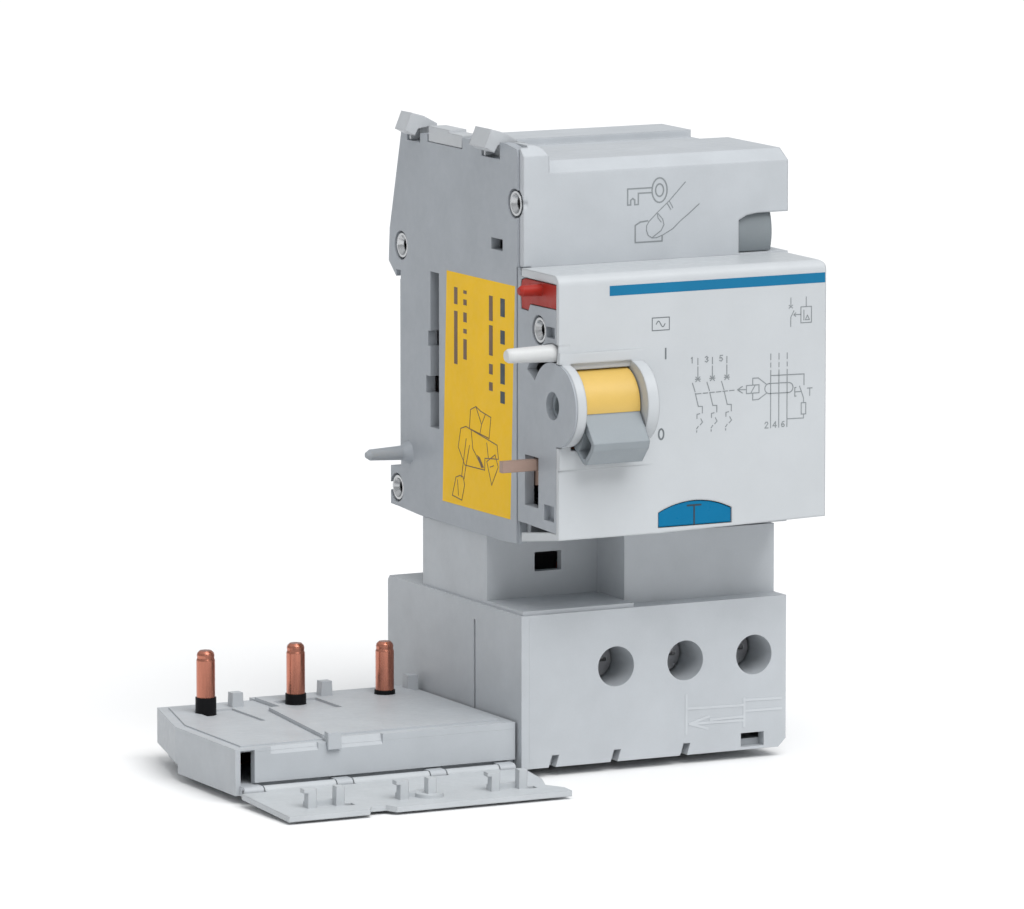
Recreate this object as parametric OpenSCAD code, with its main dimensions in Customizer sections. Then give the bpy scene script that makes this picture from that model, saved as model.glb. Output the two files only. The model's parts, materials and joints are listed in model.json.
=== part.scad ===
// Three-pole residual current device, the add-on kind that sits on a mounting rail to the right
// of a circuit breaker and pushes three contact pins up into the breaker's lower terminals.
// Lengths are millimetres. +Z is up, the wall is toward +Y and the front cover faces -Y.
// The origin is the middle of the face that rests on the 35 mm rail. The modules below count
// from the housing's lower left front corner, and from_corner() moves them to the origin.

/* [Housing] */
// Width of the housing, three modules of 17.5 mm
body_w = 52.5; // [52.3:0.1:52.7]
// Distance between two poles, one module
pole_pitch = 17.5; // [17.4:0.05:17.6]
// Wall thickness of the moulded shells
wall = 1.6; // [1.5:0.05:1.7]
// Thickness of the left side plate
plate_t = 1.8; // [1.7:0.05:1.9]
// Front of the upper box, behind the face of the cover
box_y = 13.9; // [13.8:0.05:14]
// Plane that rests on the mounting rail, behind the face of the cover
seat_y = 61.2; // [61.1:0.05:61.3]
// Height of the middle of the rail
seat_z = 65; // [64.9:0.05:65.1]
// Height of the flat roof
roof_z = 106.2; // [106:0.05:106.4]
// Height of the terminal base
base_h = 27.1; // [26.9:0.05:27.3]
// Rear of the terminal base
base_back_y = 66.4; // [66:0.1:66.8]

/* [Mounting rail] */
// Width of the rail
rail_w = 35; // [35:0.1:35.2]
// Depth of the slot behind the rail's edges
rail_slot_d = 1.6; // [1.4:0.1:1.8]

/* [Toggle] */
// Radius of the toggle's drum
drum_r = 6.2; // [6:0.05:6.25]
// Radius of the two cheeks beside the toggle
cheek_r = 7.15; // [7.05:0.05:7.25]
// Radius of the trunnion that the toggle turns on
trunnion_r = 2.4; // [2.3:0.01:2.41]
// Radius of the hole for a tie bar through the trunnion
tie_hole_r = 1.6; // [1.4:0.05:1.8]

/* [Front cover] */
// Top of the front cover
cover_top_z = 88.15; // [88:0.05:88.3]
// Thickness of the raised pad around the toggle
pad_t = 0.35; // [0.3:0.05:0.4]
// Rise of the cover's lower edge from the middle to the right end
cover_rise = 0.8; // [0.6:0.1:0.9]
// Width of the test button
test_w = 14.2; // [14:0.1:14.4]

/* [Terminals] */
// Place of the first screw from the left face
first_screw_x = 18.6; // [18.4:0.1:18.8]
// Distance between two screws
screw_pitch = 13.725; // [13.6:0.025:13.8]
// Height of the screws above the base's bottom
screw_z = 16.9; // [16.8:0.1:17]
// Diameter of the holes for the screwdriver
access_d = 7.1; // [7:0.1:7.2]

/* [Connection tray] */
// Left end of the tray, from the housing's left face
tray_left_x = -54.4; // [-54.6:0.1:-54.2]
// Front face of the tray
tray_front_y = 15.4; // [15.3:0.1:15.5]
// Top of the tray
tray_top_z = 8.3; // [8.2:0.1:8.4]
// Radius of a contact pin
pin_r = 1.65; // [1.6:0.01:1.7]
// Height of the pin tips
pin_top_z = 19.1; // [18.9:0.1:19.3]
// Row of the pins, behind the face of the cover
pin_y = 50; // [49.8:0.1:50.2]
// Length of the flap from its hinge
flap_l = 20.4; // [20.2:0.1:20.6]
// Angle at which the open flap hangs, degrees
flap_droop = 2.6; // [2:0.1:3]

/* [Hidden] */

$fn = 48;
eps = 0.05;
gap = 0.15;
poles = [0, 1, 2];
right_x = body_w - wall;
mid_x = body_w / 2;

// Heights of the rail's two edges
rail_top = seat_z + rail_w / 2;
rail_bottom = seat_z - rail_w / 2;
slot_back_y = seat_y + rail_slot_d;

// Toggle axis, and the middle of the cheeks, as [Y, Z]
toggle_at = [2.2, 65.5];
cheek_at = [0.7, 65.65];
cheek_skin = 0.4;
toggle_x0 = 2.9;
toggle_x1 = 13.8;
window_x0 = 2.2;
window_x1 = 14.1;
window_z = [57.9, 71.8];

// Rivets along X as [Y, Z, right end]
rivets = [[60.8, 87.1, body_w], [16.5, 99.1, body_w], [7.3, 78.1, body_w], [62.6, 43.4, 13]];
rivet_head_r = 2.2;
rivet_shank_r = 1.7;
rivet_bore_r = 1.1;

// Coupling pin in its curved slot around the toggle axis
rotor_pin_r = 1.6;
rotor_arc_r = 9.2;
rotor_turn = 50;

// Pivot of the trip lever as [Y, Z], and its tab
lever_at = [20, 51];
lever_tab = [9.2, 54.4];

// Release button in its bay at the right end of the upper box
bay_x = [42.7, 49.4];
bay_z = [88.3, 95.3];
bay_floor_y = 18.6;

// Terminals
cage_y = [29.2, 42.8];
cage_w = 9;
cage_h = 10;
busbar_y = [35, 36.6];
screw_r = 2.2;
screw_fit_r = 2.25;
screw_head_y = 22;
wire_y = 39.2;
lead_y = [34, 38, 42];
core_at = [mid_x, 38, 56];

// Connection tray
tray_right_x = -0.45;
tray_back_y = 58.4;
tray_split_x = -37;
hinge_at = [14, 0.45];
hinge_pin_r = 0.5;
knuckle_r = 0.95;
tray_floor_z = 1.3;
strip_top_z = 2.9;
pin_x = [for (i = poles) (i - 2.5) * pole_pitch];
pin_drop = [0, 0, 1];
pin_root_r = 1.2;
function sleeve_top(i) = 10.8 - 0.7 * i;

// ---- helpers ----
module from_corner() translate([-mid_x, -seat_y, -seat_z]) children();
module block(lo, hi) translate(lo) cube(hi - lo);
module side_slab(x0, x1) translate([x0, 0, 0]) rotate([90, 0, 90]) linear_extrude(x1 - x0) children();
module front_slab(y0, y1) translate([0, y1, 0]) rotate([90, 0, 0]) linear_extrude(y1 - y0) children();
module flat_slab(z0, z1) translate([0, 0, z0]) linear_extrude(z1 - z0) children();
module rod_x(x0, x1, at, r) translate([x0, at[0], at[1]]) rotate([0, 90, 0]) cylinder(h = x1 - x0, r = r);
module rod_y(y0, y1, at, r) translate([at[0], y1, at[1]]) rotate([90, 0, 0]) cylinder(h = y1 - y0, r = r);
module rod_z(z0, z1, at, r) translate([at[0], at[1], z0]) cylinder(h = z1 - z0, r = r);

// Rectangle between two corners, with round corners
module soft_rect(lo, hi, r) {
    translate([lo[0] + r, lo[1]]) square([hi[0] - lo[0] - 2 * r, hi[1] - lo[1]]);
    translate([lo[0], lo[1] + r]) square([hi[0] - lo[0], hi[1] - lo[1] - 2 * r]);
    for (x = [lo[0] + r, hi[0] - r], z = [lo[1] + r, hi[1] - r]) translate([x, z]) circle(r);
}

// Ring sector in the plane, between two radii and two angles
module sector(r0, r1, a0, a1) {
    steps = ceil((a1 - a0) / 15);
    reach = r1 * 1.2;
    intersection() {
        difference() {
            circle(r1);
            circle(r0);
        }
        polygon(concat([[0, 0]],
            [for (i = [0:steps]) let (a = a0 + (a1 - a0) * i / steps) reach * [cos(a), sin(a)]]));
    }
}

// Coil spring along +Z from the origin, swept with six sides
module coil_spring(r, wire_r, turns, length) {
    per_turn = 12;
    sides = 6;
    rings = turns * per_turn;
    points = [for (i = [0:rings], j = [0:sides - 1])
        let (a = 360 * i / per_turn, b = 360 * j / sides, d = r + wire_r * cos(b))
        [d * cos(a), d * sin(a), wire_r + (length - 2 * wire_r) * i / rings + wire_r * sin(b)]];
    faces = concat([[for (j = [0:sides - 1]) j]],
        [for (i = [0:rings - 1], j = [0:sides - 1]) let (k = (j + 1) % sides)
            [i * sides + j, (i + 1) * sides + j, (i + 1) * sides + k, i * sides + k]],
        [[for (j = [sides - 1:-1:0]) rings * sides + j]]);
    polyhedron(points, faces, convexity = 10);
}

// ---- outlines seen from the side, as [Y, Z] ----

// Back of the upper box: lower flange, rail seat, upper hook and the sloped back above it
function back_outline() = let (relief_y = seat_y - 0.2) [[61.9, 40.1], [65.1, 40.2],
    [65.1, rail_bottom - 0.4], [relief_y, rail_bottom - 0.1], [relief_y, rail_bottom + 2.2],
    [seat_y, rail_bottom + 2.2], [seat_y, rail_top - 1.5], [relief_y, rail_top - 1.5],
    [relief_y, rail_top + 0.1], [slot_back_y, rail_top + 0.1], [slot_back_y, rail_top - 1.1],
    [65.8, 83.9], [65.4, 89.7]];

module plate_outline() polygon(concat([[15.3, 39.7], [22.2, 39.4], [53.5, 39.6]], back_outline(),
    [[60.7, 107.5], [20, 109.2], [15.9, 108.6], [15.4, 107.4], [15.4, cover_top_z + 0.1],
    [box_y - 0.1, 86.65], [0.85, 86.65], [0.85, 43.4], [15.3, 43.8]]));

module box_outline() polygon(concat([[box_y, 40.3], [22.2, 39.4], [53.5, 39.6]], back_outline(),
    [[61.05, roof_z], [50, roof_z], [50, roof_z - 1.3], [36, roof_z - 1.3], [36, roof_z],
    [17, roof_z], [box_y, roof_z - 1.9]]));

module box_cavity_outline() polygon([[15.5, 41.2], [55.6, 41.2], [55.6, 60], [59.6, 60],
    [59.6, 84.6], [63.6, 85.4], [63.6, 89.4], [60, 103.1], [17.4, 103.1], [15.5, 102]]);

module cover_outline() {
    round_r = 1.8;
    polygon([[0, 42.3], [box_y - eps, 40.3], [box_y - eps, cover_top_z], [round_r, cover_top_z],
        [0, cover_top_z - round_r]]);
    translate([round_r, cover_top_z - round_r]) circle(round_r);
}

module cover_cavity_outline() polygon([[1.5, 43.6], [box_y, 41.9], [box_y, 86.7], [2, 86.7],
    [1.5, 86.2]]);

// Outline of the interlock slider in the side plate
module interlock_outline(grow) offset(delta = grow)
    polygon([[0.95, 82.4], [10.7, 82.3], [11.4, 81.1], [14, 81.2], [14.3, 84.7], [13.9, 86.1],
        [12.6, 86.5], [0.95, 86.5]]);

// ---- housing ----
module left_side_plate() color([0.62, 0.64, 0.66]) from_corner() difference() {
    union() {
        side_slab(0, plate_t) plate_outline();
        rod_x(0, cheek_skin, cheek_at, cheek_r);
        locating_peg();
    }
    for (r = rivets) {
        rod_x(-eps, 1.2, r, rivet_head_r + 0.4);
        rod_x(0, plate_t + eps, r, rivet_shank_r + eps);
    }
    block([-eps, 21.1, 90.3], [plate_t + eps, 25.5, 92.3]);
    side_slab(-eps, plate_t + eps) notched_slot();
    side_slab(-eps, plate_t + eps) interlock_outline(gap);
    translate([0, toggle_at[0], toggle_at[1]]) side_slab(-eps, plate_t + eps)
        sector(7.55, 10.85, 90 - rotor_turn - 11, 101);
    rod_x(-eps, plate_t + eps, toggle_at, 2.45);
    intersection() {
        rod_x(cheek_skin + eps, plate_t + eps, cheek_at, cheek_r + gap);
        block([0, -10, 50], [3, 0.85, 80]);
    }
    block([-eps, 7.5, 47], [plate_t + eps, 12.6, 55.8]);
    block([-eps, 1.6, 45.3], [1.2, 5.4, 48]);
    block([-eps, 1.4, 77.2], [1.2, 4.6, 79.1]);
    block([-eps, 11.1, 43.1], [1, 15.4, 43.75]);
    rod_x(0.6, plate_t + eps, lever_at, 1);
    for (y = hook_rows) block([-eps, y[0] - 0.3, roof_z], [plate_t + eps, y[1] + 0.7, 112]);
    block([-eps, 36.6, roof_z + 0.4], [plate_t + eps, 50.4, 112]);
    block([-eps, 15.3 - eps, 39], [0.35, 15.8, cover_top_z]);
    side_slab(-eps, label_t) label_outline();
}

// Slot that receives the breaker's clips, with two wider places
module notched_slot() {
    translate([45.8, 56]) square([3.4, 27.7]);
    translate([45.8, 70.4]) square([4.3, 2.7]);
    translate([45.8, 62]) square([5.1, 3]);
}

// Tapered peg that finds its hole in the breaker's side
module locating_peg() translate([eps, 58, 50.3]) rotate([0, -90, 0]) {
    cylinder(h = 1.5, r1 = 2.1, r2 = 1.3);
    translate([0, 0, 1.5]) cylinder(h = 6.2, r1 = 1.3, r2 = 1);
    translate([0, 0, 7.7]) cylinder(h = 0.8, r1 = 1, r2 = 0.5);
}

module main_housing() color([0.78, 0.79, 0.8]) from_corner() {
    housing_shell();
    inner_supports();
    // lug that the rail latch's spring stands on
    block([25, 58.3 - eps, 48.45], [27.5, 60.6, 49.4]);
    block([25, 55.6, 48.45], [27.5, 58.3, 49.4]);
}

module housing_shell() difference() {
    union() {
        difference() {
            side_slab(plate_t + eps, body_w) box_outline();
            side_slab(plate_t, right_x) box_cavity_outline();
        }
        side_slab(0.35, plate_t + 2 * eps) polygon([[box_y, cover_top_z + 0.1], [15.35, cover_top_z + 0.1],
            [15.35, roof_z], [box_y, roof_z]]);
        cap();
        block([41.3, 15.4, cover_top_z], [right_x + eps, 21.6, 96.9]);
        rivet_bosses();
    }
    // bay of the release button, open to the front and to the right
    front_slab(box_y - 1, bay_floor_y) bay_outline(0, body_w);
    block([bay_x[1], box_y - 1, bay_z[0]], [body_w + 1, 20.4, bay_z[1]]);
    block([44, bay_floor_y - eps, 89.8], [48.2, 22, 93.8]);
    // openings to the cover, to the neck and for the rail latch
    block([plate_t, box_y - 1, 44], [49.6, 15.6, 86.3]);
    block([4, 31, 39], [49.4, 50.5, 41.4]);
    block([14, seat_y, 39], [38.5, 66, rail_bottom + eps]);
    block([17.8, 58.3, 39], [34.7, 62, 58]);
    block([24.3, 56.5, 48.3], [28.2, 58.4, 58]);
    block([plate_t, hook_rows[0][0] - 1.4, 104.9], [3.55, hook_rows[1][1] + 0.7, 112]);
    rod_x(0, 1.2, rivets[1], rivet_head_r + 0.35);
    for (r = rivets) rod_x(1, r[2] + 1, r, rivet_shank_r + eps);
    for (r = rivets) rod_x(r[2] - 1.2, r[2] + 1, r, rivet_head_r + gap);
}

// Front of the release button's bay, with a long soft corner at the top left
module bay_outline(inset, right) polygon([[bay_x[0] + inset, bay_z[0] + inset], [right, bay_z[0] + inset],
    [right, bay_z[1] - inset], [bay_x[0] + 3.6, bay_z[1] - inset], [bay_x[0] + 1.5, bay_z[1] - 0.35 - inset],
    [bay_x[0] + inset, bay_z[1] - 1.1 - inset]]);

// Shelf under the core, bracket over the relay, studs behind the board, seat of the button's spring
module inner_supports() {
    block([14, 47, 48.9], [38.5, 55.7, core_at[2] - 5]);
    block([22, 15.4, 86], [34, 27, 87.6]);
    block([22, 15.4, 86.3], [34, 15.6, 92]);
    for (y = [26, 50], z = [50, 79]) rod_x(45.2, right_x + eps, [y, z], 1.6);
    block([43.5, 30.6, 88], [right_x + eps, 31.8, 96]);
}

// Raised left end of the roof with its round right shoulder
module cap() {
    front_part = [[box_y, roof_z - 2], [20.7, roof_z - 2], [20.7, 109.2], [15.6, 109.2], [box_y, 107.4]];
    difference() {
        intersection() {
            side_slab(0.35, 5.4) polygon(front_part);
            front_slab(box_y, 21) soft_rect([-6, 90], [5.4, 109.2], 2.6);
        }
        block([0, 15.35, 90], [plate_t + eps, 22, 112]);
    }
    intersection() {
        side_slab(3.6, 5.4) polygon([[20.6, roof_z - 2], [60.6, roof_z - 2], [60.6, 107.5], [20.6, 109.15]]);
        front_slab(20, 61) soft_rect([-6, 90], [5.4, 109.2], 1.7);
    }
}

module rivet_bosses() for (i = [0, 1]) rod_x(3.4, right_x + eps, rivets[i], 2.6);

module front_cover() color([0.88, 0.89, 0.9]) from_corner() difference() {
    union() {
        intersection() {
            difference() {
                side_slab(0, body_w) cover_outline();
                side_slab(-eps, right_x) cover_cavity_outline();
            }
            front_slab(-1, box_y + 1) soft_rect([-5, 39], [body_w, cover_top_z + eps], 1.2);
        }
        flat_slab(54.5, 74.8) polygon([[0, eps], [0, -pad_t], [11, -pad_t], [18.4, 0], [18.4, eps]]);
        rod_x(cheek_skin + eps, window_x0, cheek_at, cheek_r);
        rod_x(window_x1, window_x1 + 2.2, cheek_at, cheek_r);
        rod_x(47.6, right_x + eps, rivets[2], 2.6);
        // seat of the interlock's spring
        block([10, 1.4, 82], [11.2, 10, 86.8]);
    }
    // rebate for the side plate
    block([-eps, 0.8, 43.35], [plate_t + eps, 14, 86.7]);
    rod_x(-eps, cheek_skin + eps, cheek_at, cheek_r + gap);
    // toggle window with a shallow step above it
    block([window_x0, -1, window_z[0]], [window_x1, 4, window_z[1]]);
    block([window_x0, -1, window_z[1] - eps], [window_x1, 0.3, 72.9]);
    rod_x(0, window_x0 + eps, toggle_at, 2.45);
    rod_x(window_x1 - eps, window_x1 + 1.3, toggle_at, 2.45);
    rod_x(window_x0 + 0.02, window_x1 - 0.02, toggle_at, drum_r + gap);
    translate([0, toggle_at[0], toggle_at[1]]) side_slab(-eps, window_x0 + eps)
        sector(7.55, 10.85, 90 - rotor_turn - 11, 101);
    // relief behind the interlock slider and for the arm of the trip rotor
    side_slab(plate_t, 5.4) interlock_outline(0.2);
    block([2.1, 0.5, 71], [2.85, 4, 76.7]);
    front_slab(-1, 3.6) test_outline(gap);
    rod_x(47, body_w + 1, rivets[2], rivet_shank_r + eps);
    rod_x(body_w - 1.2, body_w + 1, rivets[2], rivet_head_r + 0.4);
    // the lower edge rises a little toward the right
    translate([0, 0, 42.3]) rotate([-8.22, 0, 0]) front_slab(-1, 15)
        polygon([[20, -0.6], [body_w + 1, -0.6], [body_w + 1, cover_rise], [20, 0]]);
}

// Front of the test button as [X, Z]: straight sides and an arched top
module test_outline(grow) {
    arch_r = 15.7;
    test_x = 26.7;
    intersection() {
        translate([test_x, 47.5 - arch_r]) circle(arch_r + grow, $fn = 96);
        translate([test_x - test_w / 2 - grow, 43.35 - grow]) square([test_w + 2 * grow, 6]);
    }
}

module terminal_base() color([0.76, 0.77, 0.79]) from_corner() difference() {
    union() {
        // block with its cavity
        difference() {
            side_slab(wall, body_w) base_outline();
            block([0, 15.9, wall], [right_x, base_back_y - wall, base_h - wall]);
        }
        neck();
        for (i = poles) rod_y(15.8, screw_head_y + 2.4, screw_at(i), 4.4);
        for (x = [11.7, 25.45, 39.2]) block([x - 0.6, 15.8, wall - eps], [x + 0.6, 50, 22.6]);
    }
    block([0, 10, -1], [wall, 70, base_h]);
    block([4, 31, base_h - wall - 1], [49.4, 50.4, 50]);
    for (i = poles) {
        rod_y(box_y - 1, screw_head_y + 3.1, screw_at(i), access_d / 2);
        rod_z(-1, wall + 1, [screw_at(i)[0], wire_y], 2.9);
    }
    // slanted notches and a larger window along the lower front edge
    for (x = [5, 17.2, 31]) front_slab(box_y - 1, 16)
        polygon([[x, -1], [x + 1.4, -1], [x + 2.4, 2.1], [x + 1, 2.1]]);
    block([43.5, box_y - 1, 0.5], [48.1, 16, 3]);
    // chamfer at the lower right corner
    front_slab(0, 70) polygon([[body_w + 1, -1], [body_w - 1.5, -1], [body_w - 1.5, 0], [body_w, 1.5],
        [body_w + 1, 1.5]]);
}

module base_outline() polygon([[box_y, 0], [base_back_y - 0.8, 0], [base_back_y, 0.8],
    [base_back_y, base_h - 0.8], [base_back_y - 0.8, base_h], [box_y, base_h]]);

function screw_at(i) = [first_screw_x + i * screw_pitch, screw_z];

// Neck between the base and the upper box, with the pocket at its front left
module neck() {
    neck_top = 39.35;
    difference() {
        union() {
            block([0.6, 18.1, base_h - eps], [body_w - 0.2, 53.5, neck_top]);
            block([0.6, 14.5, base_h - eps], [22.4, 20, 27.8]);
        }
        block([0, 14, 27.8], [22.4, 28.4, 50]);
        block([24, 19.7, base_h - 3], [right_x, 30, 50]);
        block([2.2, 30, base_h - 3], [right_x, 51.9, 50]);
        block([10, 28, 32.3], [15.3, 31, 35.7]);
    }
}

module base_side_plate() color([0.7, 0.71, 0.73]) from_corner() difference() {
    side_slab(0, wall) base_outline();
    // guide slot for the tray, and the passage for its leads
    block([-1, 31.65, 1], [wall + 1, 32.35, 24]);
    block([-1, 36, 1.3], [wall + 1, 56, 7.4]);
}

module housing_rivets() color([0.72, 0.73, 0.75]) from_corner() for (r = rivets) difference() {
    union() {
        rod_x(0.2, 1.15, r, rivet_head_r);
        rod_x(1, r[2] - 1, r, rivet_shank_r);
        rod_x(r[2] - 1.15, r[2] - 0.2, r, rivet_head_r);
    }
    rod_x(-1, body_w + 1, r, rivet_bore_r);
    for (end = [[0.2, 1], [r[2] - 0.2, -1]]) translate([end[0], r[0], r[1]]) rotate([0, 90 * end[1], 0])
        translate([0, 0, -eps]) cylinder(h = 1, r1 = 1.8, r2 = rivet_bore_r - 0.05);
}

// Label that lies flush in its shallow pocket in the side plate
label_t = 0.12;
module label_outline() polygon([[18.1, 43.6], [44.5, 43.4], [42.8, 84.6], [16.4, 84.7]]);
module info_label() color([0.83, 0.67, 0.19]) from_corner() side_slab(0, label_t) label_outline();

// Rows of the two hooks, front to back
hook_rows = [[22.5, 28.5], [53.5, 57.6]];

module coupling_hooks() color([0.8, 0.81, 0.82]) from_corner() {
    for (y = hook_rows) front_slab(y[0], y[1]) polygon([[-1.5, 111.5], [-2.8, 108.35],
        [-0.9, 107.4], [-0.2, 108.6], [1.95, 108.9], [1.95, 105], [3.5, 105], [3.5, 109.4], [0.9, 110.8]]);
    // web at the rear of each clip
    for (y = hook_rows) block([0.1, y[1] - 0.6, roof_z + 0.15], [2, y[1], 108.75]);
    block([1.95, 21.2, 105], [3.5, 58.2, roof_z + 0.7]);
    block([0.1, 42, roof_z + 0.5], [3.5, 50, 109.4]);
    block([0.1, 37, roof_z + 0.5], [3.5, 42 + eps, 108.9]);
}

// ---- toggle and coupling parts ----
module toggle_lever() color([0.62, 0.65, 0.68]) from_corner() difference() {
    union() {
        rod_x(toggle_x0, toggle_x1, toggle_at, drum_r);
        side_slab(toggle_x0, toggle_x1) polygon([[-3.9, 64.4], [-7.6, 59.8], [-7.2, 58.6],
            [-4.7, 55.9], [-3.6, 56], [1, 59.4]]);
        rod_x(1.2, 15.2, toggle_at, trunnion_r);
    }
    translate([0, toggle_at[0], toggle_at[1]]) side_slab(toggle_x0 - eps, toggle_x1 + eps)
        sector(drum_r - 1, drum_r + 1, 60, 189);
    rod_x(0, 20, toggle_at, tie_hole_r);
    // hollow in the left end of the handle
    side_slab(toggle_x0 - eps, toggle_x0 + 4) polygon([[-4.1, 61.9], [-6.7, 59.7], [-6.3, 58.8],
        [-4.6, 57], [-3.7, 57], [-2.2, 58.2]]);
}

module toggle_flag() color([0.95, 0.77, 0.3]) from_corner()
    translate([0, toggle_at[0], toggle_at[1]]) side_slab(toggle_x0, toggle_x1)
    sector(drum_r - 1, drum_r, 60.2, 188.8);

// Ring on the toggle's left trunnion with the coupling pin that trips the breaker
module trip_rotor() color([0.88, 0.88, 0.86]) from_corner() {
    pin_at = [toggle_at[0], toggle_at[1] + rotor_arc_r];
    difference() {
        union() {
            rod_x(2.3, 2.8, toggle_at, 3.8);
            block([2.3, toggle_at[0] - 1.4, toggle_at[1]], [2.8, toggle_at[0] + 1.4, pin_at[1]]);
            rod_x(2.3, 2.8, pin_at, rotor_pin_r);
        }
        rod_x(2, 3, toggle_at, trunnion_r + 0.06);
    }
    translate([2.4, pin_at[0], pin_at[1]]) rotate([0, -90, 0]) rotate_extrude()
        polygon([[0, 0], [rotor_pin_r, 0], [rotor_pin_r - 0.05, 2.4], [1.25, 10.9], [0.95, 11.4], [0, 11.4]]);
}

module interlock_slider() color([0.76, 0.18, 0.15]) from_corner() {
    side_slab(0.1, 1.7) interlock_outline(0);
    translate([0.2, 7, 85.1]) rotate([0, -90, 0]) rotate_extrude()
        polygon([[0, 0], [1.05, 0], [0.98, 3.7], [0.6, 4.3], [0, 4.3]]);
    rod_x(1.6, 4.6, [7, 84.4], 1.2);
}

module interlock_spring() color([0.75, 0.76, 0.78]) from_corner()
    translate([1.75, 7, 84.4]) rotate([0, 90, 0]) coil_spring(1.75, 0.22, 5, 8.2);

module trip_lever() color([0.57, 0.45, 0.38]) from_corner() difference() {
    union() {
        rod_x(2.1, 5.6, lever_at, 2.4);
        side_slab(2.1, 3.3) polygon([[lever_tab[0] - 0.6, lever_tab[1] - 2.4],
            [lever_tab[0] - 0.6, lever_tab[1] + 1], [lever_tab[0] + 2, lever_tab[1] + 1],
            [lever_at[0] + 0.6, lever_at[1] + 2.3], [lever_at[0], lever_at[1] - 2.3],
            [lever_tab[0] + 2.5, lever_tab[1] - 4]]);
        block([-6.4, lever_tab[0] - 0.6, lever_tab[1] - 1], [3.3, lever_tab[0] + 0.6, lever_tab[1] + 1]);
    }
    rod_x(0, 8, lever_at, 1.04);
}

module trip_lever_pin() color([0.7, 0.71, 0.73]) from_corner() rod_x(0.6, 6.6, lever_at, 1);

module test_button() color([0.08, 0.46, 0.7]) from_corner() {
    front_slab(0.15, 3.2) test_outline(0);
    block([20.4, 3.1, 43.6], [32.8, 4.4, 45.4]);
    block([25.2, 4.3, 43.7], [28.2, 8.6, 44.9]);
}

// Bent leaf that closes the test circuit when the button is pressed
module test_contact_spring() color([0.8, 0.66, 0.35]) from_corner()
    side_slab(25, 28.4) polygon([[10.2, 42.41], [10.6, 42.35], [10.8, 52], [16.6, 53.2], [16.6, 53.6],
        [10.4, 52.4]]);

module release_button() color([0.4, 0.43, 0.45]) from_corner() {
    arc_r = 9;
    intersection() {
        front_slab(box_y, 16.4) bay_outline(gap, bay_x[1] + gap);
        rod_x(bay_x[0], bay_x[1] + 1, [14.4 + arc_r, 91.8], arc_r);
    }
    block([44.2, 16.3, 90], [48, 24.5, 93.6]);
}

module release_spring() color([0.75, 0.76, 0.78]) from_corner()
    translate([46.1, 24.6, 91.8]) rotate([-90, 0, 0]) coil_spring(1.5, 0.2, 5, 6);

// ---- rail latch ----
module rail_latch() color([0.32, 0.34, 0.36]) from_corner() difference() {
    union() {
        block([18, 58.5, 35.5], [34.5, 61, 56.6]);
        side_slab(18, 34.5) polygon([[60.9, 44.4], [63.9, 44.4], [65, 45.6], [65, rail_bottom + 0.6],
            [slot_back_y + 0.2, rail_bottom + 1.6], [slot_back_y + 0.2, rail_bottom - 0.2],
            [60.9, rail_bottom - 0.2]]);
    }
    block([24.3, 58, 48.2], [28.2, 62, 55.2]);
    block([23, 58, 37], [29.5, 62, 39.4]);
}

module rail_latch_spring() color([0.75, 0.76, 0.78]) from_corner()
    translate([mid_x, 58.5, 49.5]) coil_spring(1.5, 0.22, 6, 5.6);

// ---- inside ----
module toroid_core() color([0.35, 0.36, 0.38]) from_corner() difference() {
    rod_z(core_at[2] - 5, core_at[2] + 5, core_at, 14);
    rod_z(core_at[2] - 6, core_at[2] + 6, core_at, 8.4);
}

// Copper winding around one side of the core, one ring for each bundle of turns
module secondary_winding() color([0.72, 0.42, 0.22]) from_corner()
    for (a = [-50:10:50]) translate(core_at) rotate([0, 0, a - 90]) difference() {
        block([7.5, -0.5, -5.9], [14.9, 0.5, 5.9]);
        block([8.35, -1, -5.05], [14.05, 1, 5.05]);
    }

// Three insulated conductors that go up the left side and down through the core
module primary_conductors() color([0.5, 0.2, 0.16]) from_corner() for (i = poles) {
    y = lead_y[i];
    r = 1.4;
    corner_x = [7, core_at[0], screw_at(i)[0]];
    rod_z(9, 72, [corner_x[0], y], r);
    rod_x(corner_x[0], corner_x[1], [y, 72], r);
    rod_z(32, 72, [corner_x[1], y], r);
    rod_x(min(corner_x[1], corner_x[2]), max(corner_x[1], corner_x[2]), [y, 32], r);
    rod_z(25.2, 32, [corner_x[2], y], r);
    for (p = [[corner_x[0], 72], [corner_x[1], 72], [corner_x[1], 32], [corner_x[2], 32]])
        translate([p[0], y, p[1]]) sphere(r);
}

// Copper bars that the cages clamp the wires against
module output_busbars() color([0.76, 0.45, 0.3]) from_corner() for (i = poles) {
    x = screw_at(i)[0];
    block([x - 3, busbar_y[0], 12], [x + 3, busbar_y[1], 24.4]);
    block([x - 2.4, min(busbar_y[0], lead_y[i] - 2.2), 23.6],
        [x + 2.4, max(busbar_y[1], lead_y[i] + 2.2), 25.2]);
}

module trip_relay() color([0.22, 0.23, 0.25]) from_corner() difference() {
    block([20, 18.5, 75], [36, 29, 86]);
    rod_x(19, 30, [23.7, 80.5], 1.5);
}

module relay_plunger() color([0.7, 0.71, 0.73]) from_corner() {
    rod_x(14, 27, [23.7, 80.5], 1.4);
    rod_x(13, 14.2, [23.7, 80.5], 2.3);
}

module circuit_board() color([0.2, 0.42, 0.26]) from_corner() block([43.6, 22, 45], [45.2, 54, 84]);

// Capacitors, resistors and a chip on the left side of the board
module board_parts() color([0.16, 0.17, 0.2]) from_corner() {
    for (z = [66, 73]) rod_x(39.6, 43.6, [49.5, z], 2.4);
    for (z = [48:4:60]) rod_y(27, 33, [42.5, z], 1.1);
    block([42, 40, 76], [43.6, 46, 82]);
    block([41.4, 30, 78], [43.6, 35, 82]);
}

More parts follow.
